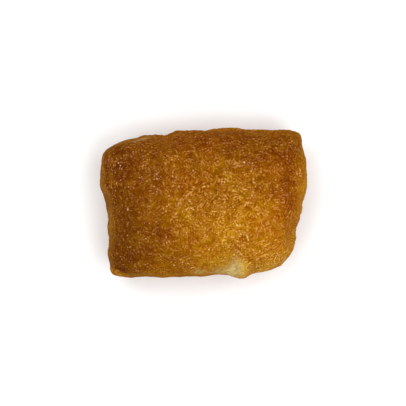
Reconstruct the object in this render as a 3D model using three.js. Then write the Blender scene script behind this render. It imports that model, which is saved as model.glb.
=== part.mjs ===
// An inari sushi: a seasoned pouch of fried tofu, packed with rice and laid on its folded mouth.
// Millimetres, +Z up, +X along the pouch. The sheet's closed edge lies towards +Y, and the mouth is
// folded under from -Y. The origin is below the middle of the pouch, on the plane that it rests on.

import * as THREE from "three";
import { ImprovedNoise } from "three/addons/math/ImprovedNoise.js";
import { mergeVertices } from "three/addons/utils/BufferGeometryUtils.js";

// ---- Driving dimensions ----

const LENGTH = 66;
const WIDTH = 48.2;
const HEIGHT = 26;

const SHOULDER_REACH = 0.2 * WIDTH; // from the outline in to the top face
const FOOT_REACH = 0.14 * WIDTH; // from the outline in to the underside
const SHOULDER_ROUNDNESS = 2.3; // 2 is a circle's quarter, more is squarer
const FOOT_ROUNDNESS = 2.1;
const CROWN = 0.08 * HEIGHT; // how far the top face domes up inside its shoulders

const CORNER_SOFTNESS = 0.02 * WIDTH; // how round the plan's corners are at the outline
const SOFTER_INWARDS = 0.3; // how much rounder they grow for each millimetre further in
const SWELL_DEPTH = 0.2 * WIDTH; // a swell of the outline fades out over this distance inwards

// The sheet's fried edge is the seam: a low ridge at the widest level, all round but for the front,
// where the mouth turns under. It dips from the closed back to the mouth.
const SEAM_LEVEL_BACK = 0.5 * HEIGHT;
const SEAM_LEVEL_FRONT = 0.3 * HEIGHT;
const SEAM_SWAY = { height: 0.045 * HEIGHT, phase: 0.4 };
const SEAM_RIDGE = { height: 0.9, width: 1.6 };

// The mouth's upper lip laps the lower one along the underside.
const LAP_LINE = -0.08 * WIDTH;
const LAP_SWAY = { height: 0.035 * WIDTH, phase: 1.1, length: 0.3 * LENGTH };
const LIP_THICKNESS = 1.8;
const LAP_EDGE = 2; // the step at the lip's edge falls over this distance
const LAP_RUN_OUT = 0.26 * WIDTH; // the lower lip comes back down over this distance
const PRESSED_FLAT = 0.55; // how deep the plate presses into the underside

// ---- The plan ----

// Corners as shares of the half length and half width, counterclockwise from the front left. Each
// side runs on to the next corner. A swell is where the rice pushes the skin out, or where the skin
// draws in if it is negative: [place along the side, its reach, how far], in shares of the side and mm.
const PLAN = [
  {
    x: -0.85,
    y: -0.99,
    swells: [[0.09, 0.06, 0.5], [0.33, 0.06, 0.2], [0.52, 0.22, 0.9], [0.81, 0.035, 1.2]],
  },
  { x: 0.64, y: -0.93, swells: [[0.4, 0.3, 0.6]] },
  { x: 0.845, y: -0.66, swells: [[0.15, 0.16, -0.75], [0.72, 0.16, -0.85]] },
  { x: 1.01, y: 0.4, swells: [[0.6, 0.3, -0.75]] },
  { x: 0.94, y: 0.94, swells: [[0.12, 0.09, 1.3], [0.7, 0.22, 1.5], [0.9, 0.1, 0.9]] },
  { x: -0.2, y: 0.985, swells: [[0.25, 0.08, -1.4], [0.48, 0.12, 1], [0.76, 0.2, 0.95]] },
  { x: -0.93, y: 0.8, swells: [[0.5, 0.4, 1.2]] },
  {
    x: -1.01,
    y: 0.42,
    swells: [[0.13, 0.035, 0.8], [0.47, 0.28, -1.5], [0.75, 0.08, -0.6], [0.9, 0.05, 0.5]],
  },
  { x: -0.935, y: -0.82, swells: [[0.5, 0.5, 1.8]] },
];

// ---- The relief of the skin ----

const RICE_BUMPS = { size: 6, height: 0.5 };
const SLACK = { size: 16, height: 0.8 }; // the broad dips and rises of a loosely packed pouch
const PUCKERS = { size: 4.8, height: 0.8, tall: 2.4 }; // upright folds of the walls
const CORNER_PUCKER_REACH = 0.25 * WIDTH; // puckers are deepest within this distance of a corner

// Folds run from one point to another, as shares of the half length, the half width and the height.
// The skin to the left of a fold, seen from outside, stands over the skin to its right by "height",
// or the other way round if it is negative, and falls back to the plain form over "run".
const FOLDS = [
  // The ends of the upper lip, tucked up from the underside to the seam.
  { from: [-0.84, -0.08, 0], to: [-0.97, -0.56, 0.34], height: -2, run: 6 },
  { from: [0.95, -0.5, 0.36], to: [0.84, -0.06, 0], height: -2, run: 6 },
  // The pinched corner of the mouth at the front left, and the skin's ear above the lobe at the front.
  { from: [-0.93, -0.5, 0.66], to: [-0.5, -1.0, 0.56], height: 0.9, run: 6 },
  { from: [0.24, -1.02, 0.16], to: [0.27, -0.7, 0.98], height: -1.1, run: 5 },
  // Creases that fan out from the corners of the mouth over the front wall.
  { from: [-0.62, -1.0, 0.1], to: [-0.3, -0.98, 0.62], height: 0.8, run: 4 },
  { from: [0.8, -0.75, 0.1], to: [0.58, -0.88, 0.66], height: -0.9, run: 4.5 },
  // Slack from the closed corners, along the back wall and on to the top face.
  { from: [0.86, 0.94, 0.62], to: [0.3, 0.98, 0.3], height: 0.8, run: 4 },
  { from: [-0.2, 1.0, 0.28], to: [-0.72, 0.84, 0.7], height: 0.8, run: 4.5 },
  { from: [0.9, 0.72, 0.86], to: [0.42, 0.36, 1.0], height: 0.45, run: 6 },
  { from: [-0.39, 0.1, 1.0], to: [-0.37, -0.55, 1.0], height: 0.45, run: 7 },
];
const FOLD_EDGE = 1.2; // the step at a fold's edge falls over this distance
const FOLD_FADE = 0.22; // the share of a fold's length that it takes to rise, and to fade again

const EASE = 0.55; // the share of the way to its neighbours' middle that each point is drawn

// ---- The grid that is wrapped round the pouch ----

const CELLS = { along: 42, across: 30, up: 24 };
const ROWS_TOWARDS_SEAM = 1.12; // more than 1 sets the wall's rows closer near the seam

const noise = new ImprovedNoise();

// Smooth noise of a given grain size, from about -1 to 1. Each use has its own layer.
function grain(x, y, z, size, layer) {
  return 1.6 * noise.noise(x / size + 7.3 * layer, y / size - 4.1 * layer, z / size + 2.7 * layer);
}

// 0 at "from" and beyond, 1 at "to" and beyond, whichever of the two is larger.
function smoothStep(from, to, value) {
  const share = THREE.MathUtils.clamp((value - from) / (to - from), 0, 1);
  return share * share * (3 - 2 * share);
}

function bell(distance, reach) {
  return Math.exp(-((distance / reach) ** 2));
}

// A slow and uneven wave, from about -1 to 1, for a line that a hand has laid.
function sway(place, phase) {
  return 0.6 * Math.sin(2 * place + phase) + 0.4 * Math.sin(5 * place + 2 * phase);
}

// ---- Plan: how far a point lies inside the outline ----

const sides = PLAN.map((corner, i) => {
  const next = PLAN[(i + 1) % PLAN.length];
  const start = new THREE.Vector2((corner.x * LENGTH) / 2, (corner.y * WIDTH) / 2);
  const end = new THREE.Vector2((next.x * LENGTH) / 2, (next.y * WIDTH) / 2);
  const along = end.clone().sub(start);
  const length = along.length();
  along.divideScalar(length);
  return { start, along, length, swells: corner.swells };
});

function insideSide(side, x, y) {
  const dx = x - side.start.x;
  const dy = y - side.start.y;
  const share = (dx * side.along.x + dy * side.along.y) / side.length;
  const depth = side.along.x * dy - side.along.y * dx;
  let swelled = 0;
  for (const [place, reach, out] of side.swells) swelled += out * bell(share - place, reach);
  return depth + swelled * smoothStep(SWELL_DEPTH, 0, depth);
}

function softLeast(values, softness) {
  const least = Math.min(...values);
  const sum = values.reduce((total, v) => total + Math.exp((least - v) / softness), 0);
  return least - softness * Math.log(sum);
}

function depthInside(x, y) {
  const depths = sides.map((side) => insideSide(side, x, y));
  const atEdge = softLeast(depths, CORNER_SOFTNESS);
  return softLeast(depths, CORNER_SOFTNESS + SOFTER_INWARDS * Math.max(0, atEdge));
}

// The distance from the middle, along a direction, where the plan is this deep inside its outline.
function reachAtDepth(direction, depth) {
  let near = 0;
  let far = LENGTH;
  for (let i = 0; i < 30; i++) {
    const middle = (near + far) / 2;
    if (depthInside(direction.x * middle, direction.y * middle) > depth) near = middle;
    else far = middle;
  }
  return near;
}

// ---- The plain form ----

function seamLevel(x, y) {
  const toFront = smoothStep(0.15 * WIDTH, -0.45 * WIDTH, y);
  const level = THREE.MathUtils.lerp(SEAM_LEVEL_BACK, SEAM_LEVEL_FRONT, toFront);
  const angle = Math.atan2(y / WIDTH, x / LENGTH);
  return level + SEAM_SWAY.height * sway(angle, SEAM_SWAY.phase);
}

function topHeight(x, y) {
  return HEIGHT - CROWN * (1 - smoothStep(0, 0.5 * WIDTH, depthInside(x, y)));
}

function lapLine(x) {
  return LAP_LINE + LAP_SWAY.height * sway(x / LAP_SWAY.length, LAP_SWAY.phase);
}

// The lip lies on the plate, which presses into it. Behind its edge the lower lip is held up by its
// thickness.
function bottomHeight(x, y) {
  const behind = y - lapLine(x);
  const step = smoothStep(0, LAP_EDGE, behind);
  const returned = smoothStep(LAP_EDGE, LAP_RUN_OUT, behind);
  return LIP_THICKNESS * step * (1 - returned) - PRESSED_FLAT;
}

// A quarter of a rounded profile: at turn 0 it is at the seam, at turn 1 on the face above or below.
function quarterProfile(turn, roundness) {
  const angle = (turn * Math.PI) / 2;
  return {
    inwards: 1 - Math.cos(angle) ** (2 / roundness),
    rise: Math.sin(angle) ** (2 / roundness),
  };
}

// Moves a point of a cube from -1 to 1 onto the pouch. The cube's top and bottom become the two
// faces, and its sides become the wall from one face, round the seam, to the other.
function wrap(point) {
  const upper = point.z >= 0;
  const reach = upper ? SHOULDER_REACH : FOOT_REACH;
  const { inwards, rise } = quarterProfile(
    Math.abs(point.z) ** ROWS_TOWARDS_SEAM,
    upper ? SHOULDER_ROUNDNESS : FOOT_ROUNDNESS,
  );
  const ring = Math.max(Math.abs(point.x), Math.abs(point.y));
  const across = new THREE.Vector2(ring > 0 ? point.x * LENGTH : 1, point.y * WIDTH).normalize();
  const place = across.clone().multiplyScalar(ring * reachAtDepth(across, reach * inwards));

  const outline = across.clone().multiplyScalar(reachAtDepth(across, 0));
  const seam = seamLevel(outline.x, outline.y);
  const face = upper ? topHeight(place.x, place.y) : bottomHeight(place.x, place.y);
  return new THREE.Vector3(place.x, place.y, THREE.MathUtils.lerp(seam, face, rise));
}

function plainForm() {
  const cube = new THREE.BoxGeometry(2, 2, 2, CELLS.along, CELLS.across, CELLS.up);
  cube.deleteAttribute("normal");
  cube.deleteAttribute("uv");
  const geometry = mergeVertices(cube, 1e-4);
  const places = geometry.getAttribute("position");
  const point = new THREE.Vector3();
  for (let i = 0; i < places.count; i++) {
    point.fromBufferAttribute(places, i);
    places.setXYZ(i, ...wrap(point).toArray());
  }
  geometry.computeVertexNormals();
  return geometry;
}

// ---- The relief, outwards from the plain form ----

function nearestCorner(x, y) {
  return Math.min(...sides.map((side) => Math.hypot(x - side.start.x, y - side.start.y)));
}

// The plan is the outline of the ridge, so the wall above and below stands back from it.
function seamRidge(point) {
  const offFront = smoothStep(-0.47 * WIDTH, -0.3 * WIDTH, point.y);
  const crest = bell(point.z - seamLevel(point.x, point.y), SEAM_RIDGE.width);
  return SEAM_RIDGE.height * offFront * (crest - 1);
}

function puckers(point) {
  const nearCorner = 0.3 + 0.7 * bell(nearestCorner(point.x, point.y), CORNER_PUCKER_REACH);
  const offSeam = 1 - 0.7 * bell(point.z - seamLevel(point.x, point.y), SEAM_RIDGE.width);
  const fold = grain(point.x, point.y, point.z / PUCKERS.tall, PUCKERS.size, 6);
  return PUCKERS.height * nearCorner * offSeam * fold;
}

function placeOf([x, y, z]) {
  return new THREE.Vector3((x * LENGTH) / 2, (y * WIDTH) / 2, z * HEIGHT);
}

const folds = FOLDS.map((fold) => {
  const start = placeOf(fold.from);
  const along = placeOf(fold.to).sub(start);
  const length = along.length();
  return { ...fold, start, along: along.divideScalar(length), length };
});

function foldRelief(fold, point, normal) {
  const reached = point.clone().sub(fold.start);
  const share = reached.dot(fold.along) / fold.length;
  if (share < 0 || share > 1) return 0;
  const fade = smoothStep(0, FOLD_FADE, share) * smoothStep(1, 1 - FOLD_FADE, share);
  const leftwards = normal.clone().cross(fold.along).normalize();
  const left = reached.dot(leftwards) * Math.sign(fold.height);
  const offLine = reached.addScaledVector(fold.along, -reached.dot(fold.along)).length();
  const step = smoothStep(-FOLD_EDGE, FOLD_EDGE, left);
  return Math.abs(fold.height) * fade * step * bell(offLine, fold.run);
}

function relief(point, normal) {
  const { x, y, z } = point;
  const wall = 1 - normal.z ** 2;
  const offUnderside = smoothStep(-0.95, -0.5, normal.z);
  let out = wall * (seamRidge(point) + puckers(point));
  out += RICE_BUMPS.height * grain(x, y, z, RICE_BUMPS.size, 2);
  out += SLACK.height * offUnderside * grain(x, y, z, SLACK.size, 3);
  for (const fold of folds) out += foldRelief(fold, point, normal);
  return out;
}

// ---- The pouch ----

function tofuPouchGeometry() {
  const geometry = plainForm();
  const places = geometry.getAttribute("position");
  const normals = geometry.getAttribute("normal");
  const point = new THREE.Vector3();
  const normal = new THREE.Vector3();
  for (let i = 0; i < places.count; i++) {
    point.fromBufferAttribute(places, i);
    normal.fromBufferAttribute(normals, i);
    places.setXYZ(i, ...point.addScaledVector(normal, relief(point, normal)).toArray());
  }
  const cells = cellsOf(geometry);
  easeSkin(geometry, cells);
  for (let i = 0; i < places.count; i++) places.setZ(i, Math.max(places.getZ(i), 0));
  splitCells(geometry, cells);
  fitToSize(geometry);
  geometry.computeVertexNormals();
  return geometry;
}

// The grid's cells, each as its four corners in turn. The geometry holds a cell as two triangles.
function cellsOf(geometry) {
  const corners = geometry.getIndex().array;
  const cells = [];
  for (let i = 0; i < corners.length; i += 6) {
    cells.push([corners[i], corners[i + 1], corners[i + 4], corners[i + 2]]);
  }
  return cells;
}

// Draws each point towards the middle of its neighbours, as the skin rounds off a sharp kink.
function easeSkin(geometry, cells) {
  const places = geometry.getAttribute("position");
  const points = Array.from({ length: places.count }, (_, i) =>
    new THREE.Vector3().fromBufferAttribute(places, i),
  );
  const neighbours = points.map(() => new Set());
  for (const cell of cells) {
    cell.forEach((corner, i) => {
      neighbours[corner].add(cell[(i + 1) % 4]);
      neighbours[corner].add(cell[(i + 3) % 4]);
    });
  }
  points.forEach((point, i) => {
    const middle = new THREE.Vector3();
    for (const neighbour of neighbours[i]) middle.add(points[neighbour]);
    middle.divideScalar(neighbours[i].size);
    places.setXYZ(i, ...point.clone().lerp(middle, EASE).toArray());
  });
}

// Cuts each cell in two along its shorter diagonal, which keeps the corners' narrow cells sound.
function splitCells(geometry, cells) {
  const places = geometry.getAttribute("position");
  const pointAt = (i) => new THREE.Vector3().fromBufferAttribute(places, i);
  const index = cells.flatMap(([a, b, c, d]) => {
    const shorterFirst = pointAt(a).distanceTo(pointAt(c)) < pointAt(b).distanceTo(pointAt(d));
    return shorterFirst ? [a, b, c, a, c, d] : [a, b, d, b, c, d];
  });
  geometry.setIndex(index);
}

// Brings the relief's small excess back to the stated size, and rests the pouch on its plane.
function fitToSize(geometry) {
  geometry.computeBoundingBox();
  const size = geometry.boundingBox.getSize(new THREE.Vector3());
  geometry.scale(LENGTH / size.x, WIDTH / size.y, HEIGHT / size.z);
  geometry.computeBoundingBox();
  const middle = geometry.boundingBox.getCenter(new THREE.Vector3());
  geometry.translate(-middle.x, -middle.y, -geometry.boundingBox.min.z);
}

const seasonedSkin = new THREE.MeshStandardMaterial({
  color: new THREE.Color("#9c5f1a"),
  roughness: 0.42,
  metalness: 0,
});

const inariSushi = new THREE.Group();
const tofuPouch = new THREE.Mesh(tofuPouchGeometry(), seasonedSkin);
tofuPouch.name = "tofu_pouch";
inariSushi.add(tofuPouch);

export default inariSushi;
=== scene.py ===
"""An inari sushi: a pouch of fried tofu, simmered in sweet soy and packed with rice.

The pouch lies on its folded mouth. Places are in millimetres in the frame's own axes: +X along
the pouch, +Y towards the sheet's closed edge and +Z up, with the plate at z = 0.
"""

import math

import bmesh
import bpy
import numpy as np
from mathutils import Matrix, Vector, noise


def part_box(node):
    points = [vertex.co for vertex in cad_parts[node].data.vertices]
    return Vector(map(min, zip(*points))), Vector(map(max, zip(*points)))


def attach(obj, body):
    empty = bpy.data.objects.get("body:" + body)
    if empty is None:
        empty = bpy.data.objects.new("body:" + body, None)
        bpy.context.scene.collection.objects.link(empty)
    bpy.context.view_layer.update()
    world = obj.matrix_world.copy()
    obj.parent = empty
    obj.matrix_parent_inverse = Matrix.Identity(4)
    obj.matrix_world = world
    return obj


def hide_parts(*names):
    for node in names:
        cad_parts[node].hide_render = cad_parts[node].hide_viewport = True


MM = 0.001
WRINKLE_SEED = 7

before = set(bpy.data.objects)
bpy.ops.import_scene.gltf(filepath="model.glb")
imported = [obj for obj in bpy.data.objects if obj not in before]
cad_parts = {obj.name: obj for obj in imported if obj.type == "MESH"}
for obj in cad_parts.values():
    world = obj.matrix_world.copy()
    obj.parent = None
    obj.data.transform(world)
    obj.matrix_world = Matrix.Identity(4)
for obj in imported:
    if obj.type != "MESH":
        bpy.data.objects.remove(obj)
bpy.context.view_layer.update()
low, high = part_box("tofu_pouch")
LENGTH, WIDTH, HEIGHT = (high - low) / MM
noise.seed_set(WRINKLE_SEED)  # so that the wrinkles bend in the same way each time


# ---- Small tools ----

LAYER_STEP = Vector((17.3, -9.1, 5.7))


def smooth_step(start, end, value):
    """0 at start and 1 at end, easing in between. start may be the larger one."""
    share = min(1, max(0, (value - start) / (end - start)))
    return share * share * (3 - 2 * share)


def bell(distance, reach):
    """1 at no distance, falling to almost nothing at twice the reach."""
    return math.exp(-((distance / reach) ** 2))


def grain(point, size, layer):
    """Smooth random value, about -0.7 to 0.7, that changes over this size. Each layer differs."""
    return noise.noise(point / size + LAYER_STEP * layer)


def uneven(point, amount, size, layer, level=0):
    """A level that rises and falls at random, by up to about 0.7 times the amount."""
    return level + amount * grain(point, size, layer)


def stretches(point, size, layer, ends):
    """1 along random stretches of about this size and 0 in the gaps between them."""
    return smooth_step(*ends, grain(point, size, layer))


def lines(point, size, width, layer):
    """1 along the middle of thin random lines, about this size apart, and 0 off them."""
    return max(0, 1 - abs(grain(point, size, layer)) / width)


# ---- Where the seam and the lap run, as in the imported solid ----

SEAM_LEVEL_BACK = 0.5 * HEIGHT
SEAM_LEVEL_FRONT = 0.3 * HEIGHT
SEAM_DIP = (0.15 * WIDTH, -0.45 * WIDTH)  # the seam comes down between these places
SEAM_SWAY = 0.045 * HEIGHT
SEAM_PHASE = 0.4
LAP_LINE = -0.08 * WIDTH
LAP_SWAY = 0.035 * WIDTH
LAP_SWAY_LENGTH = 0.3 * LENGTH
LAP_PHASE = 1.1


def sway(place, phase):
    """A slow wave and a quicker one, between -1 and 1 together."""
    return 0.6 * math.sin(2 * place + phase) + 0.4 * math.sin(5 * place + 2 * phase)


def seam_level(point):
    """Height of the sheet's fried edge on the wall beside this point."""
    to_front = smooth_step(*SEAM_DIP, point.y)
    level = SEAM_LEVEL_BACK + (SEAM_LEVEL_FRONT - SEAM_LEVEL_BACK) * to_front
    return level + SEAM_SWAY * sway(math.atan2(point.y / WIDTH, point.x / LENGTH), SEAM_PHASE)


def above_seam(point):
    return point.z - seam_level(point)


def behind_lap(point):
    """How far behind the upper lip's edge a point of the underside lies."""
    return point.y - LAP_LINE - LAP_SWAY * sway(point.x / LAP_SWAY_LENGTH, LAP_PHASE)


# ---- Where the skin is coloured and marked ----

# Each list holds patches as seen from above: the middle, the reach along and across, the turn in
# degrees and the amount.

# Where the simmered skin is browner, and where it is more golden. A few patches, marked below, are
# painted shade in creases and painted light on walls.
BROWN_LEVEL = 0.54
BROWNED_AND_SHADED = [
    ((-26, -4), (9.5, 26), 0, 0.27),  # the whole left end
    ((-23, -18), (7, 4), 12, 0.1),
    ((-15, -11), (5, 6), 20, 0.12),
    ((-14, 9), (6, 6), 0, 0.15),
    ((-18, 0), (2, 2.5), 0, 0.08),
    ((4, 20), (28, 4.5), 0, 0.14),  # along the closed edge
    ((-2.3, 11.5), (2.4, 5), 0, 0.13),
    ((-5.5, 1.5), (3, 2.5), 0, 0.07),
    ((-2.5, -8.5), (2.5, 3), 0, 0.08),
    ((7, 15.8), (3, 2.2), 0, 0.15),
    ((12.5, 12), (3.5, 2), 0, 0.09),
    ((22, -7), (3, 3), 0, 0.1),
    ((21, 14), (6, 4), 0, 0.12),
    ((28, 17), (3, 3), 0, 0.08),
    ((26.8, 6), (2.6, 8), 6, 0.14),  # down the right end
    ((5, -1), (2.5, 2), 30, 0.05),
    # painted shade in the crease across the corner
    ((-25.3, -21.4), (4, 0.9), -28, 0.2),  # in the crease across the corner
    ((-26, 11.6), (5, 3.8), 20, 0.06),  # round the blister
    ((-25.5, 15.4), (3, 1.6), 0, 0.12),
    # painted shade along a shallow groove
    ((-13.4, -7.5), (0.6, 4.5), 3, 0.1),
]
GOLDEN_AND_LIT = [
    ((7, -7), (8, 6), 20, 0.17),
    ((6.5, -8.5), (2.5, 2.5), 0, 0.11),
    ((14.5, -4.5), (2.5, 3), 20, 0.08),
    ((4.5, -15), (4.5, 4), 0, 0.17),
    ((-4, -4), (4, 9), 0, 0.1),
    ((18, -5), (7, 6), 0, 0.16),
    ((21, -16), (9, 7), 25, 0.27),
    ((19, -21), (6, 2), 14, 0.1),
    ((9, 5), (6, 5), -25, 0.08),
    ((3, -19), (4, 3), 0, 0.1),
    ((5.8, -19.8), (2.5, 1.4), 0, 0.13),
    ((-9, 13), (3, 3), 0, 0.06),
    ((12.3, -21), (1.8, 3.6), -10, 0.4),  # down the right side of the thin patch
    ((-27.2, -22), (4, 1.2), -28, 0.35),  # below the crease across the corner
    # painted light on the right end's wall
    ((31, 2), (2.2, 13), 0, 0.17),
    ((4, 23.8), (30, 1.1), 0, 0.18),  # the very rim of the closed edge
    ((-28.9, -8), (2.2, 9), -4, 0.12),
    # painted light on the lower right wall
    ((29, -14), (3, 5), -20, 0.08),
    ((-21.5, 5), (3, 3), 0, 0.05),
]

# Where the brown is yellower, or redder if the amount is negative.
YELLOW_LEVEL = 0.46
YELLOWED = [
    ((6, -12), (3.5, 6), -10, 0.4),
    ((-4.5, -4), (3.5, 3.5), 30, 0.24),
    ((9, 5), (5, 4), 0, 0.2),
    ((5, -20), (6, 3), 0, 0.45),
    ((20, -20), (6, 3), 20, 0.3),
    ((12.3, -21), (1.8, 3.6), -10, 0.8),
    ((-9, -17), (5, 3.5), 0, 0.25),
    ((5, 11), (3, 2), 0, 0.25),
    ((12.5, 15.5), (3, 2), 0, 0.2),
    ((-22, -8), (2.2, 9), 0, 0.15),
    ((-4, 20.5), (24, 3.5), 0, -0.44),
    ((-4, 6), (6, 5), 0, -0.22),
    ((-17.5, -7), (3, 8), 0, -0.15),
    ((22, -7), (4, 5), 0, -0.2),
    ((-25, 11), (6, 7), 0, -0.2),
    ((26, 3), (3.5, 12), 0, -0.45),
    ((20, 13), (7, 4), 0, -0.33),
    ((-12.5, -11.5), (4, 3), 0, -0.25),
    ((-12.5, 6.5), (3.5, 3.5), 0, -0.22),
    ((-30.5, 3), (2.5, 7), 0, -0.22),
    ((2, 16), (6, 2.5), 0, -0.18),
]

# Where the skin is stretched so thin that the rice shows pale through it, and one painted highlight in
# the same pale colour.
THIN_PATCHES_AND_HIGHLIGHT = [
    ((9.8, -20.9), (3.2, 1.7), 78, 1.0),
    ((6.8, -21.9), (3.8, 1.7), 6, 0.55),
    ((-1.3, -21.6), (2, 0.9), 0, 0.35),
    # a painted highlight on a wrinkle by the closed edge, in the rice's pale colour
    ((-19.3, 19.8), (2.2, 0.35), 17, 0.4),
    ((12, -21.8), (1.6, 2.4), -10, 0.3),
]
THIN_LEVELS = (10, 14.5)  # the patches fade in up the wall between these heights
THIN_UNEVENNESS = {"level": 1, "amount": 0.5, "size": 1.5, "layer": 15}

# Where the shoulder shows more clearly as a smoother, paler rim: partly the skin's own paler rim and
# partly painted light where the shoulder turns.
RIM_LEVEL = 0.25
RIMMED_AND_LIT = [
    ((-31, 5), (5, 14), 0, 0.5),
    ((-29.5, -9), (3, 8), 0, 0.15),
    ((-21, 20), (7, 3), 10, 0.5),
    # painted light on the right end's rim
    ((32.5, 4), (2.6, 14), 0, 0.55),
    ((-25, -22), (9, 4), 0, 0.55),
    ((2, -23), (12, 3), 0, 0.25),
    ((12.3, -22), (3, 3), 0, -0.5),
]

# Where the wall swells out further than the solid, in millimetres.
BULGES = [
    ((-31.5, 0), (3, 4.5), 0, 0.45),
]

# Where the top is raised, or sunk if the amount is negative, as shares of the blister height.
BLISTER_HEIGHT = 0.35
BLISTERS = [
    ((-25.8, 11.8), (3.4, 2.1), 20, 0.7),
    ((-25.3, -21.5), (3.2, 0.6), -28, -0.45),  # the crease across the corner
    ((-19.3, 19.7), (2.2, 0.5), 17, 0.2),
    ((-13.4, -7.5), (0.5, 4.5), 3, -0.15),
    ((13, 4), (2.4, 1.8), 0, 0.25),
    ((-9, 13), (2.6, 2), 30, 0.3),
]

# Where the fried threads stand out most from the skin, with the strongest painted shade in their hollows
# and painted highlight on them.
CRISP_LEVEL = 0.62
CRISP = [
    ((4, 0), (14, 11), -15, 0.3),
    ((-20, 13), (9, 4), -10, 0.25),
    ((16, 12), (5, 4), 0, 0.15),
    ((11, -14), (6, 4), 0, 0.2),
    ((-9.2, 14), (3, 2.4), 20, 0.25),
    ((12.5, -21), (2.2, 4), -10, 0.5),
    ((-25.8, 11.6), (3, 1.8), 20, 0.5),
    ((21, -18.5), (8, 3.5), 18, 0.4),
    ((29, -8), (2.5, 9), -8, 0.3),
    ((-29.5, -4), (2.5, 16), -3, 0.5),
]

# Where wet threads catch the light most: the wet coat lies there, and painted glints are put into the
# colour there too.
SHINY = [
    ((-25.8, 11.6), (3, 1.7), 20, 1.1),
    ((-17, 15), (2.4, 1.6), 0, 0.55),
    ((-9.2, 14), (2.4, 2), 20, 1.0),
    ((-14, 8), (1.6, 1.4), 0, 0.45),
    ((12.6, 14), (2.2, 1.8), 0, 0.85),
    ((26, 14), (1.8, 1.4), 0, 0.45),
    ((28.5, 8), (1.2, 2), 0, 0.5),
    ((8, 8), (3, 2), 30, 0.42),
    ((-4, -2), (3, 4), 0, 0.42),
    ((11, -8), (4, 3), 0, 0.45),
    ((19, -20), (6, 2.4), 12, 0.5),
    ((26.5, -16), (2.5, 4), -35, 0.45),
    ((12.3, -21), (1.8, 3), -10, 0.5),
]


def patch_sum(patches, point):
    """The patches' amounts at a point, each fading out from its middle."""
    total = 0
    for (x, y), (along, across), turn, amount in patches:
        angle = math.radians(turn)
        dx, dy = point.x - x, point.y - y
        u = (dx * math.cos(angle) + dy * math.sin(angle)) / along
        v = (dy * math.cos(angle) - dx * math.sin(angle)) / across
        total += amount * math.exp(-u * u - v * v)
    return total


# How the skin faces, by its normal's height, which is 1 on the top and -1 on the underside.
FACING_UP = (-0.3, 0.3)
FACING_DOWN = (-0.2, -0.7)
UNDERSIDE = -0.3  # below this the skin belongs to the underside
SHOULDER_TOP = (0.58, 0.34)
SHOULDER_FOOT = (0.02, 0.2)
WALL = (0.9, 0.6)  # of the normal's height either way
STEEP = (0.1, 0.6)  # of 1 less the normal's height either way


def on_wall(normal):
    """1 on the walls, and 0 on the top and the underside."""
    return smooth_step(*WALL, abs(normal.z))


# The sheet's fried edge is a pale band along the seam that wanders, fades here and there and is ragged.
BAND_HALF_WIDTH = (1.5, 0.6)
BAND_WANDER = {"amount": 0.9, "size": 4, "layer": 16}
BAND_STRENGTH = {"level": 0.35, "amount": 0.9, "size": 6, "layer": 11}
BAND_RAGS = {"level": 0.9, "amount": 0.7, "size": 1.3, "layer": 13}

# The shoulder's rim starts between two levels above the seam, and is uneven in two sizes.
RIM_START = (-1, 1)
RIM_STRENGTH = {"level": 0.85, "amount": 0.5, "size": 4, "layer": 12}
RIM_RAGS = {"amount": 0.4, "size": 1.4, "layer": 14}

# The upper lip's edge under the pouch: a step in the solid, which the finished skin has sharper and
# paler. Both steps lie between two distances behind the lap's line.
LIP_THICKNESS = 1.8
LIP_EDGE_SOFT = (0, 2)
LIP_EDGE_CUT = (0.5, 1.3)
LIP_SHARPENED = 0.7  # of the thickness
CUT_REACH = 0.6
CUT_LEVELS = (4.5, 2)  # the pale cut fades out up the walls between these heights


def seam_band(point, normal):
    """How clearly the fried edge shows along the seam."""
    off_seam = abs(above_seam(point) - uneven(point, **BAND_WANDER))
    band = smooth_step(*BAND_HALF_WIDTH, off_seam) * smooth_step(*STEEP, 1 - abs(normal.z))
    band *= uneven(point, **BAND_STRENGTH)
    return band * ((1 + patch_sum(RIMMED_AND_LIT, point)) * uneven(point, **BAND_RAGS))


def pale_and_lit_shoulder(point, normal):
    """How clearly the shoulder shows as a paler rim, partly its own colour and partly painted light."""
    turning = smooth_step(*SHOULDER_TOP, normal.z) * smooth_step(*SHOULDER_FOOT, normal.z)
    turning *= smooth_step(*RIM_START, above_seam(point))
    clear = min(1, RIM_LEVEL + patch_sum(RIMMED_AND_LIT, point))
    return min(1, turning * (clear * (uneven(point, **RIM_STRENGTH) + uneven(point, **RIM_RAGS))))


def stretched_thin(point):
    """How much of the rice shows through the skin, with one painted highlight in its pale colour."""
    thin = patch_sum(THIN_PATCHES_AND_HIGHLIGHT, point) * uneven(point, **THIN_UNEVENNESS)
    return min(1, thin * smooth_step(*THIN_LEVELS, point.z))


def cut_edge(point, normal):
    """How much of the sheet's pale inside shows at the lip's edge."""
    from_cut = behind_lap(point) - sum(LIP_EDGE_CUT) / 2
    below = smooth_step(*FACING_DOWN, normal.z)
    return below * bell(from_cut, CUT_REACH) * smooth_step(*CUT_LEVELS, point.z)


# How the colour changes round the pouch.
BROWNING_BELOW = 0.35  # the share of the patches' browning where the skin doesn't face up
PALER_BELOW = 0.2
# The shoulder is painted paler and yellower, partly as its own rim and partly as painted light.
PALER_SHOULDER = 0.1
YELLOWER_SHOULDER = 0.3
SHOULDER_AS_RIM = 0.5  # the shoulder's share of the seam's own paleness

# How smooth the marked places are. The thin patches are only so in their middle.
SMOOTH_THIN = 0.85
SMOOTH_THIN_POWER = 1.4
SMOOTH_RIM = 0.2
SMOOTH_CUT = 0.8


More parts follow.
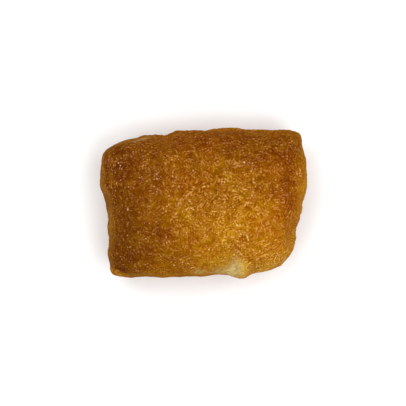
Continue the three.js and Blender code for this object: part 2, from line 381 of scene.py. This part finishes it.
def marks_at(point, normal):
    """What sets the skin apart at a point: its colours, its rims and how smooth or wet it is."""
    upward = smooth_step(*FACING_UP, normal.z)
    below = smooth_step(*FACING_DOWN, normal.z)
    band = seam_band(point, normal)
    shoulder = pale_and_lit_shoulder(point, normal)
    thin = stretched_thin(point)
    cut = cut_edge(point, normal)
    browned = patch_sum(BROWNED_AND_SHADED, point) - patch_sum(GOLDEN_AND_LIT, point)
    browned *= BROWNING_BELOW + (1 - BROWNING_BELOW) * upward
    yellow = YELLOW_LEVEL + patch_sum(YELLOWED, point) * upward + YELLOWER_SHOULDER * shoulder
    smooth_thin = SMOOTH_THIN * thin**SMOOTH_THIN_POWER
    return {
        "browning": BROWN_LEVEL + browned - PALER_BELOW * below - PALER_SHOULDER * shoulder,
        "yellow": min(1, max(0, yellow)),
        "rim": min(1, max(0, band, SHOULDER_AS_RIM * shoulder)),
        "thin": thin,
        "smooth": max(smooth_thin, SMOOTH_RIM * band, SMOOTH_RIM * shoulder, SMOOTH_CUT * cut),
        "blister": patch_sum(BLISTERS, point) * upward,
        "cut": cut,
        "shiny": min(1, patch_sum(SHINY, point) * upward),
        "crisp": min(1, CRISP_LEVEL + patch_sum(CRISP, point) * upward),
    }


# ---- The skin's mesh ----

SUBDIVISIONS = 2
WELD_DISTANCE = 0.001
ANY_ANGLE = math.pi

# Two sizes of wrinkle. Their lines are bent, and they stop and start, over shares of their own size.
COARSE_WRINKLES = {"size": 1.5, "width": 0.22, "layer": 1}
FINE_WRINKLES = {"size": 0.95, "width": 0.24, "layer": 4}
COARSE_HEIGHT = 0.13
FINE_HEIGHT = 0.07
FINE_STRENGTH = 0.8  # beside a coarse wrinkle's, in the material
WRINKLE_BEND = {"amount": 0.5, "size": 1.8}
WRINKLE_LENGTH = 1.9
WRINKLE_ENDS = (-0.12, 0.14)

# The unevenness of the skin between its wrinkles, in two sizes.
SKIN_SWELLS = {"amount": 0.1, "size": 3.2, "layer": 8}
SKIN_BUMPS = {"amount": 0.08, "size": 1.7, "layer": 9}

# A soft crease runs in stretches a little below the seam.
SEAM_CREASE_BELOW = 1.9
SEAM_CREASE_WIDTH = 0.6
SEAM_CREASE_DEPTH = 0.3
SEAM_CREASE_STRETCHES = {"size": 8, "layer": 17, "ends": (-0.15, 0.25)}

# Gathered creases run up the walls from the mouth, and run out between two levels above the seam.
GATHER_SIZE = 5
GATHER_WIDTH = 0.13
GATHER_DEPTH = 0.4
GATHER_SHORTENED = 0.3  # heights are shortened so much in their pattern, which draws it out upwards
GATHER_BEND = 1.5
GATHER_LAYER = 18
GATHER_STRETCHES = {"size": 11, "layer": 19, "ends": (0, 0.3)}
GATHER_RUN_OUT = (3, -2)

# What the material reads at each point of the mesh.
KEPT_MARKS = ("browning", "yellow", "rim", "thin", "smooth", "cut", "shiny", "crisp", "wrinkle")


def fine_copy(node):
    """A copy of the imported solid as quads, divided finely enough to carry the wrinkles."""
    made = bmesh.new()
    made.from_mesh(node.data)
    bmesh.ops.remove_doubles(made, verts=made.verts, dist=WELD_DISTANCE * MM)
    bmesh.ops.join_triangles(
        made,
        faces=made.faces,
        angle_face_threshold=ANY_ANGLE,
        angle_shape_threshold=ANY_ANGLE,
        cmp_seam=False,
        cmp_sharp=False,
        cmp_uvs=False,
        cmp_vcols=False,
        cmp_materials=False,
    )
    mesh = bpy.data.meshes.new("tofu_skin")
    made.to_mesh(mesh)
    made.free()
    coarse = bpy.data.objects.new("tofu_skin", mesh)
    bpy.context.scene.collection.objects.link(coarse)
    divide = coarse.modifiers.new("divide", "SUBSURF")
    divide.levels = SUBDIVISIONS
    divide.render_levels = SUBDIVISIONS
    divide.boundary_smooth = "ALL"
    bpy.context.view_layer.update()
    divided = coarse.evaluated_get(bpy.context.evaluated_depsgraph_get())
    fine = bpy.data.meshes.new_from_object(divided)
    coarse.modifiers.clear()
    coarse.data = fine
    fine.name = "tofu_skin"
    for polygon in fine.polygons:
        polygon.use_smooth = True
    return coarse


def wrinkle_lines(point, size, width, layer):
    """0 between the wrinkles of one size and 1 along their crests, which stop and start."""
    bend = noise.noise_vector(point / (WRINKLE_BEND["size"] * size))
    bent = point + WRINKLE_BEND["amount"] * size * bend
    whole = stretches(point, WRINKLE_LENGTH * size, layer + 1, WRINKLE_ENDS)
    return lines(bent, size, width, layer) * whole


def creases(point, normal):
    """Depth of the soft creases below the seam and of those that run up the walls from the mouth."""
    height = above_seam(point)
    under_seam = bell(height + SEAM_CREASE_BELOW, SEAM_CREASE_WIDTH)
    under_seam *= stretches(point, **SEAM_CREASE_STRETCHES)
    shortened = Vector((point.x, point.y, GATHER_SHORTENED * point.z))
    bent = shortened + GATHER_BEND * noise.noise_vector(point / GATHER_SIZE)
    gathered = lines(bent, GATHER_SIZE, GATHER_WIDTH, GATHER_LAYER)
    gathered *= stretches(point, **GATHER_STRETCHES)
    gathered *= smooth_step(*GATHER_RUN_OUT, height)
    return on_wall(normal) * (SEAM_CREASE_DEPTH * under_seam + GATHER_DEPTH * gathered)


def crumple(point, normal, marks):
    """How far the finished skin stands out from the plain form, and how strong its wrinkles are."""
    coarse = wrinkle_lines(point, **COARSE_WRINKLES)
    fine = wrinkle_lines(point, **FINE_WRINKLES)
    rough = 1 - marks["smooth"]
    out = COARSE_HEIGHT * coarse + FINE_HEIGHT * fine
    out += uneven(point, **SKIN_SWELLS) + uneven(point, **SKIN_BUMPS)
    out *= rough
    out += BLISTER_HEIGHT * marks["blister"] - creases(point, normal)
    out += patch_sum(BULGES, point) * on_wall(normal)
    return out, max(coarse, FINE_STRENGTH * fine) * rough


def lip_step(point, normal):
    """How far the underside rises to turn the soft step at the lip's edge into a sharper one."""
    if normal.z >= UNDERSIDE:
        return 0
    behind = behind_lap(point)
    sharper = smooth_step(*LIP_EDGE_CUT, behind) - smooth_step(*LIP_EDGE_SOFT, behind)
    return LIP_SHARPENED * LIP_THICKNESS * sharper


def finish_skin(skin):
    """Moves the fine mesh out to the real skin and keeps what the material needs at each point."""
    mesh = skin.data
    kept = {name: [] for name in KEPT_MARKS}
    moved = []
    for vertex in mesh.vertices:
        point = vertex.co / MM
        normal = vertex.normal
        marks = marks_at(point, normal)
        out, marks["wrinkle"] = crumple(point, normal, marks)
        place = point + normal * out
        place.z = max(0, place.z + lip_step(point, normal))
        moved.append(place * MM)
        for name in KEPT_MARKS:
            kept[name].append(marks[name])
    mesh.vertices.foreach_set("co", np.array(moved, np.float32).ravel())
    for name, values in kept.items():
        attribute = mesh.attributes.new(name, "FLOAT", "POINT")
        attribute.data.foreach_set("value", np.array(values, np.float32))
    mesh.update()


# ---- Making a material ----

# Where a mix node keeps its sockets for colours.
MIX_SHARE = 0
MIX_FIRST = 6
MIX_SECOND = 7
MIX_RESULT = 2

# How far apart the layers of a texture are taken, in millimetres.
NOISE_STEP = 31.7
SHEAF_STEP = 23.1

NOISE_RANGE = (0.3, 0.7)  # nearly all of what a noise texture gives


def linear(web_colour):
    """A web colour as the linear red, green, blue and alpha that the shader uses."""
    parts = [int(web_colour[i : i + 2], 16) / 255 for i in (1, 3, 5)]
    return [p / 12.92 if p <= 0.04045 else ((p + 0.055) / 1.055) ** 2.4 for p in parts] + [1]


class Recipe:
    """A material's node tree, with a short call for each kind of node that it takes."""

    def __init__(self, name):
        self.material = bpy.data.materials.new(name)
        self.material.use_nodes = True
        self.nodes = self.material.node_tree.nodes
        self.links = self.material.node_tree.links
        self.shader = self.nodes["Principled BSDF"]
        self.place = self.in_millimetres()

    def add(self, kind, inputs, **settings):
        """A new node with its settings made and its inputs fed."""
        made = self.nodes.new(kind)
        for name, value in settings.items():
            setattr(made, name, value)
        for name, value in inputs.items():
            self.feed(made.inputs[name], value)
        return made

    def feed(self, socket, value):
        """Links another node's output to a socket, or sets a plain value on it."""
        if isinstance(value, bpy.types.NodeSocket):
            self.links.new(value, socket)
        else:
            socket.default_value = value

    def finish(self, inputs):
        """Feeds the material's own shader."""
        for name, value in inputs.items():
            self.feed(self.shader.inputs[name], value)

    def in_millimetres(self):
        place = self.nodes.new("ShaderNodeTexCoord").outputs["Object"]
        inputs = {"Vector": place, "Scale": 1 / MM}
        return self.add("ShaderNodeVectorMath", inputs, operation="SCALE").outputs[0]

    def moved_by(self, distance):
        """The place of a point, moved so that another layer of a texture is met there."""
        inputs = {0: self.place, 1: (distance,) * 3}
        return self.add("ShaderNodeVectorMath", inputs, operation="ADD").outputs[0]

    def mark(self, name):
        """A value that the mesh keeps at each of its points."""
        return self.add("ShaderNodeAttribute", {}, attribute_name=name).outputs["Fac"]

    def noise(self, size, detail=2.0, bend=0.0, layer=0):
        """Random value about 0.5 that changes over a size in millimetres."""
        place = self.moved_by(NOISE_STEP * layer)
        inputs = {"Vector": place, "Scale": 1 / size, "Detail": detail, "Distortion": bend}
        return self.add("ShaderNodeTexNoise", inputs).outputs["Fac"]

    def sheaves(self, reach, spacing, layer):
        """Parallel waves at a spacing in millimetres, in patches that lie in all directions."""
        place = self.moved_by(SHEAF_STEP * layer)
        inputs = {"Vector": place, "Scale": 1 / reach, "Frequency": reach / spacing, "Anisotropy": 0.0}
        return self.add("ShaderNodeTexGabor", inputs, gabor_type="3D").outputs["Value"]

    def sum(self, *values):
        total = values[0]
        for value in values[1:]:
            total = self.add("ShaderNodeMath", {0: total, 1: value}, operation="ADD").outputs[0]
        return total

    def times(self, first, second):
        return self.add("ShaderNodeMath", {0: first, 1: second}, operation="MULTIPLY").outputs[0]

    def larger(self, first, second):
        return self.add("ShaderNodeMath", {0: first, 1: second}, operation="MAXIMUM").outputs[0]

    def ease(self, value, start, end, first=0.0, last=1.0):
        """Goes smoothly from first to last as the value goes from start to end."""
        inputs = {"Value": value, "From Min": start, "From Max": end, "To Min": first, "To Max": last}
        return self.add("ShaderNodeMapRange", inputs, interpolation_type="SMOOTHSTEP").outputs[0]

    def spread(self, noise_value, amount):
        """A noise as a value from minus this amount to plus it, turned over if the amount is negative."""
        return self.ease(noise_value, *NOISE_RANGE, -amount, amount)

    def blend(self, share, first, second):
        """The first colour, with this share of the second one over it."""
        made = self.add("ShaderNodeMix", {}, data_type="RGBA")
        self.feed(made.inputs[MIX_SHARE], share)
        self.feed(made.inputs[MIX_FIRST], first)
        self.feed(made.inputs[MIX_SECOND], second)
        return made.outputs[MIX_RESULT]

    def ramp(self, share, stops):
        """A colour that runs through the stops as the share goes from 0 to 1."""
        made = self.add("ShaderNodeValToRGB", {"Fac": share})
        elements = made.color_ramp.elements
        while len(elements) < len(stops):
            elements.new(0.5)  # each gets its own place below
        for element, (place, colour) in zip(elements, stops):
            element.position = place
            element.color = linear(colour)
        return made.outputs["Color"]


# ---- The skin's material ----

# From golden to deep brown: the redder skin, the yellower skin, its threads with their painted highlight,
# and the painted glints.
REDDER_COLOURS = [
    (0.0, "#c4801a"),
    (0.25, "#ae6404"),
    (0.5, "#924c02"),
    (0.75, "#703400"),
    (1.0, "#501f00"),
]
YELLOWER_COLOURS = [
    (0.0, "#c89420"),
    (0.25, "#b07c0c"),
    (0.5, "#8e5e04"),
    (0.75, "#6a4202"),
    (1.0, "#4c2c00"),
]
THREAD_AND_HIGHLIGHT_COLOURS = [
    (0.0, "#f8c476"),
    (0.35, "#ecae60"),
    (0.6, "#cc9250"),
    (0.85, "#a8724a"),
    (1.0, "#8e5c40"),
]
PAINTED_GLINT_COLOURS = [
    (0.0, "#fcdca0"),
    (0.4, "#f4ca8c"),
    (0.7, "#e0b280"),
    (1.0, "#cca074"),
]
# painted shade in the hollows between the threads
HOLLOW_SHADE_COLOUR = "#401802"
RIM_COLOUR = "#bc8e3e"
RICE_COLOUR = "#d4bc7a"
CUT_COLOUR = "#d9bd80"

# The colour changes at random over two sizes, by these amounts of browning and of yellow.
MOTTLE = {"size": 5.5, "detail": 3, "layer": 1}
MOTTLE_BROWNING = 0.05
MOTTLE_YELLOWNESS = -0.12
FLECKS = {"size": 1.6, "layer": 2}
FLECK_BROWNING = 0.065
FLECK_YELLOWNESS = -0.2

# Fried threads of two sizes lie side by side in sheaves. They rise between two levels of the waves.
COARSE_THREADS = {"spacing": 0.88, "layer": 3}
FINE_THREADS = {"spacing": 0.62, "layer": 5}
SHEAF_REACH = 2.7  # spacings
THREAD_SIDES = (0.42, 0.85)
THREAD_STRENGTH = 0.7
WRINKLE_STRENGTH = 0.4  # beside a thread's
HOLLOW_SHADE_SHARE = 0.5
THREAD_HIGHLIGHT_SHARE = 0.69

# Between which heights the painted shade of the hollows ends, the threads' paler colour and painted
# highlight come in and the painted glints show.
HOLLOW_SHADE_ENDS = (0.0, 0.25)
THREAD_HIGHLIGHT_COMES_IN = (0.15, 0.9)
PAINTED_GLINT_COMES_IN = (0.55, 1.0)

# Painted glints on the brightest threads lie in clusters, some at random and some where the skin is
# wettest.
GLINT_CLUSTERS = {"size": 2.6, "layer": 9}
GLINT_CLUSTER_EDGE = (0.48, 0.7)
GLINT_CLUSTER_SHARE = 0.68
WET_GLINT_EDGE = (0, 0.7)

RIM_SHARE = 0.4
CUT_SHARE = 0.8
RICE_SHARE = 0.8
RICE_CLOUDS = {"size": 1.1, "bend": 0.5, "layer": 11}
RICE_CLOUD_EDGE = (0.3, 0.65)
RICE_CLOUD_SHARES = (0.5, 1.2)

SKIN_FINISH = {
    "Roughness": 0.6,
    "IOR": 1.4,
    "Specular IOR Level": 0.0,
    "Coat Roughness": 0.2,
    "Coat IOR": 1.4,
}
WETNESS = (0.06, 0.8)  # the wet coat where the skin is driest and where it is wettest
WET_THREADS = (0.3, 0.8)  # it lies on the threads, and comes in between these heights
PORES = {"size": 0.4, "detail": 1, "layer": 7}
PORE_DEPTH = 0.4
RELIEF_DEPTH = 0.1  # millimetres


def threads(recipe, spacing, layer):
    """Short raised threads in the skin, side by side in small sheaves that lie in all directions."""
    return recipe.ease(recipe.sheaves(SHEAF_REACH * spacing, spacing, layer), *THREAD_SIDES)


def fried_threads(recipe):
    """The height of the threads of both sizes, which are gone where the skin is smooth."""
    coarse = recipe.times(threads(recipe, **COARSE_THREADS), THREAD_STRENGTH)
    fine = recipe.times(threads(recipe, **FINE_THREADS), THREAD_STRENGTH)
    rough = recipe.ease(recipe.mark("smooth"), 0, 1, 1, 0)
    return recipe.times(recipe.sum(coarse, fine), rough)


def simmered_brown(recipe):
    """How browned the skin is, and its own colour between redder and yellower brown."""
    mottle = recipe.noise(**MOTTLE)
    flecks = recipe.noise(**FLECKS)
    browning = recipe.sum(
        recipe.mark("browning"),
        recipe.spread(mottle, MOTTLE_BROWNING),
        recipe.spread(flecks, FLECK_BROWNING),
    )
    yellowness = recipe.sum(
        recipe.mark("yellow"),
        recipe.spread(mottle, MOTTLE_YELLOWNESS),
        recipe.spread(flecks, FLECK_YELLOWNESS),
    )
    redder = recipe.ramp(browning, REDDER_COLOURS)
    yellower = recipe.ramp(browning, YELLOWER_COLOURS)
    return browning, recipe.blend(yellowness, redder, yellower)


def with_threads(recipe, colour, browning, relief):
    """The skin's colour with painted shade in the hollows, threads made paler partly by their own colour
    and partly by a painted highlight, and clusters of painted glints.
    """
    crest = recipe.larger(recipe.times(recipe.mark("wrinkle"), WRINKLE_STRENGTH), relief)
    crisp = recipe.mark("crisp")
    hollow_shade = recipe.blend(recipe.times(crisp, HOLLOW_SHADE_SHARE), colour, linear(HOLLOW_SHADE_COLOUR))
    thread_highlight = recipe.blend(THREAD_HIGHLIGHT_SHARE, colour, recipe.ramp(browning, THREAD_AND_HIGHLIGHT_COLOURS))
    colour = recipe.blend(recipe.ease(crest, *HOLLOW_SHADE_ENDS), hollow_shade, colour)
    colour = recipe.blend(recipe.times(recipe.ease(crest, *THREAD_HIGHLIGHT_COMES_IN), crisp), colour, thread_highlight)
    glints_at_random = recipe.ease(recipe.noise(**GLINT_CLUSTERS), *GLINT_CLUSTER_EDGE, 0, GLINT_CLUSTER_SHARE)
    glints_where_wet = recipe.ease(recipe.mark("shiny"), *WET_GLINT_EDGE)
    painted_glints = recipe.times(recipe.ease(crest, *PAINTED_GLINT_COMES_IN), recipe.larger(glints_at_random, glints_where_wet))
    return recipe.blend(painted_glints, colour, recipe.ramp(browning, PAINTED_GLINT_COLOURS))


def with_pale_places(recipe, colour):
    """The colour with the fried rims, the rice that shows through and the cut edge of the lip."""
    colour = recipe.blend(recipe.times(recipe.mark("rim"), RIM_SHARE), colour, linear(RIM_COLOUR))
    clouds = recipe.ease(recipe.noise(**RICE_CLOUDS), *RICE_CLOUD_EDGE, *RICE_CLOUD_SHARES)
    thin = recipe.times(recipe.mark("thin"), clouds)
    colour = recipe.blend(recipe.times(thin, RICE_SHARE), colour, linear(RICE_COLOUR))
    return recipe.blend(recipe.times(recipe.mark("cut"), CUT_SHARE), colour, linear(CUT_COLOUR))


def tofu_skin_material():
    recipe = Recipe("seasoned_tofu_skin")
    relief = fried_threads(recipe)
    browning, colour = simmered_brown(recipe)
    colour = with_threads(recipe, colour, browning, relief)
    colour = with_pale_places(recipe, colour)
    wetness = recipe.ease(recipe.mark("shiny"), 0, 1, *WETNESS)
    wet = recipe.times(wetness, recipe.ease(relief, *WET_THREADS))
    height = recipe.sum(relief, recipe.times(recipe.noise(**PORES), PORE_DEPTH))
    inputs = {"Height": height, "Distance": RELIEF_DEPTH * MM, "Strength": 1.0}
    normal = recipe.add("ShaderNodeBump", inputs).outputs["Normal"]
    recipe.finish(SKIN_FINISH)
    recipe.finish({"Base Color": colour, "Coat Weight": wet, "Normal": normal, "Coat Normal": normal})
    return recipe.material


# ---- The studio ----

FLOOR_SIZE = 6  # metres
FLOOR_SPECKLE = 40  # millimetres
FLOOR_COLOURS = [(0.0, "#fafafa"), (1.0, "#fcfcfc")]
FLOOR_FINISH = {"Roughness": 0.9, "Specular IOR Level": 0.1}

# Azimuth, which is 0 in front and 90 at the right, elevation, and power in watts.
LIGHTS = {
    "key": (40, 60, 3.9),
    "fill": (220, 58, 3.2),
    "right": (110, 55, 2.4),
    "left": (300, 55, 1.6),
}
LIGHT_DISTANCE = 1.0  # metres
LIGHT_SIZE = 0.6
SKY_COLOUR = (1, 1, 1, 1)
SKY_STRENGTH = 0.46

FRAME_WIDTH = 128.8  # what the camera sees across, at the pouch's widest level
WIDEST_LEVEL = 0.5 * HEIGHT
FOCAL_LENGTH = 135
SENSOR_WIDTH = 36
NEAREST, FARTHEST = 0.01, 10  # what the camera sees, in metres


def pale_floor():
    bpy.ops.mesh.primitive_plane_add(size=FLOOR_SIZE)
    floor = bpy.context.object
    floor.name = "floor"
    recipe = Recipe("pale_floor")
    recipe.finish({"Base Color": recipe.ramp(recipe.noise(FLOOR_SPECKLE), FLOOR_COLOURS)})
    recipe.finish(FLOOR_FINISH)
    floor.data.materials.append(recipe.material)


def soft_light(name, azimuth, elevation, watts):
    """A large square light that faces the pouch."""
    light = bpy.data.lights.new(name, "AREA")
    light.size = LIGHT_SIZE
    light.energy = watts
    lamp = bpy.data.objects.new(name, light)
    bpy.context.scene.collection.objects.link(lamp)
    turn, rise = math.radians(azimuth), math.radians(elevation)
    back = Vector((math.sin(turn) * math.cos(rise), -math.cos(turn) * math.cos(rise), math.sin(rise)))
    lamp.location = back * LIGHT_DISTANCE
    lamp.rotation_euler = back.to_track_quat("Z", "Y").to_euler()


def studio():
    pale_floor()
    for name, (azimuth, elevation, watts) in LIGHTS.items():
        soft_light(name, azimuth, elevation, watts)
    world = bpy.data.worlds.new("studio")
    world.use_nodes = True
    background = world.node_tree.nodes["Background"]
    background.inputs["Color"].default_value = SKY_COLOUR
    background.inputs["Strength"].default_value = SKY_STRENGTH
    bpy.context.scene.world = world
    bpy.context.scene.view_settings.view_transform = "Standard"


def camera_above():
    lens = bpy.data.cameras.new("camera")
    lens.lens = FOCAL_LENGTH
    lens.sensor_width = SENSOR_WIDTH
    camera = bpy.data.objects.new("camera", lens)
    bpy.context.scene.collection.objects.link(camera)
    distance = FRAME_WIDTH * FOCAL_LENGTH / SENSOR_WIDTH
    camera.location = (0, 0, (WIDEST_LEVEL + distance) * MM)
    lens.clip_start = NEAREST
    lens.clip_end = FARTHEST
    bpy.context.scene.camera = camera


# ---- Making it ----

skin = fine_copy(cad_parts["tofu_pouch"])
finish_skin(skin)
skin.data.materials.clear()
skin.data.materials.append(tofu_skin_material())
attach(skin, "root")
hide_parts("tofu_pouch")
studio()
camera_above()
